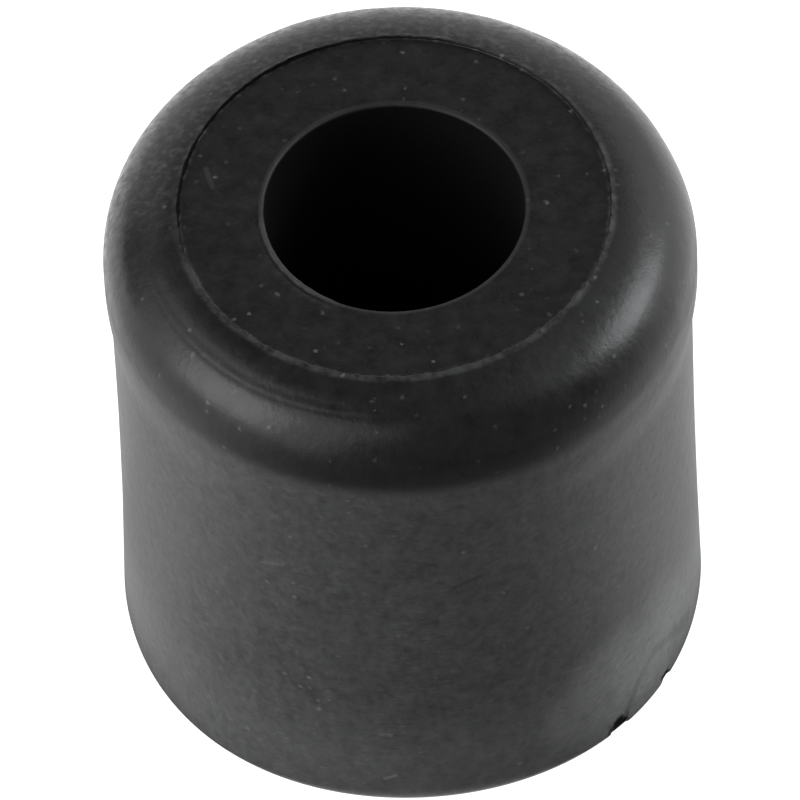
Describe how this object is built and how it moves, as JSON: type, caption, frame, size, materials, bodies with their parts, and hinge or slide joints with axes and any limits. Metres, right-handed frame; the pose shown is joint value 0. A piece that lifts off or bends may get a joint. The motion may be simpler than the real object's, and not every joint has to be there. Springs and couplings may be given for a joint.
{
  "type": "rubber foot",
  "caption": "Round moulded rubber foot with a waisted, flared side, a rounded ground end and a deep central pocket over a screw hole.",
  "frame": {"origin": "centre of the wide mounting face", "axes": "+Z along the axis of the foot, out of the mouth of the screw pocket"},
  "size_m": [0.038, 0.038, 0.0387],
  "materials": {
    "black_rubber": "matte moulded black rubber, slightly grey and dusty"
  },
  "bodies": {
    "root": {"rubber_foot": "black_rubber"}
  },
  "joints": []
}
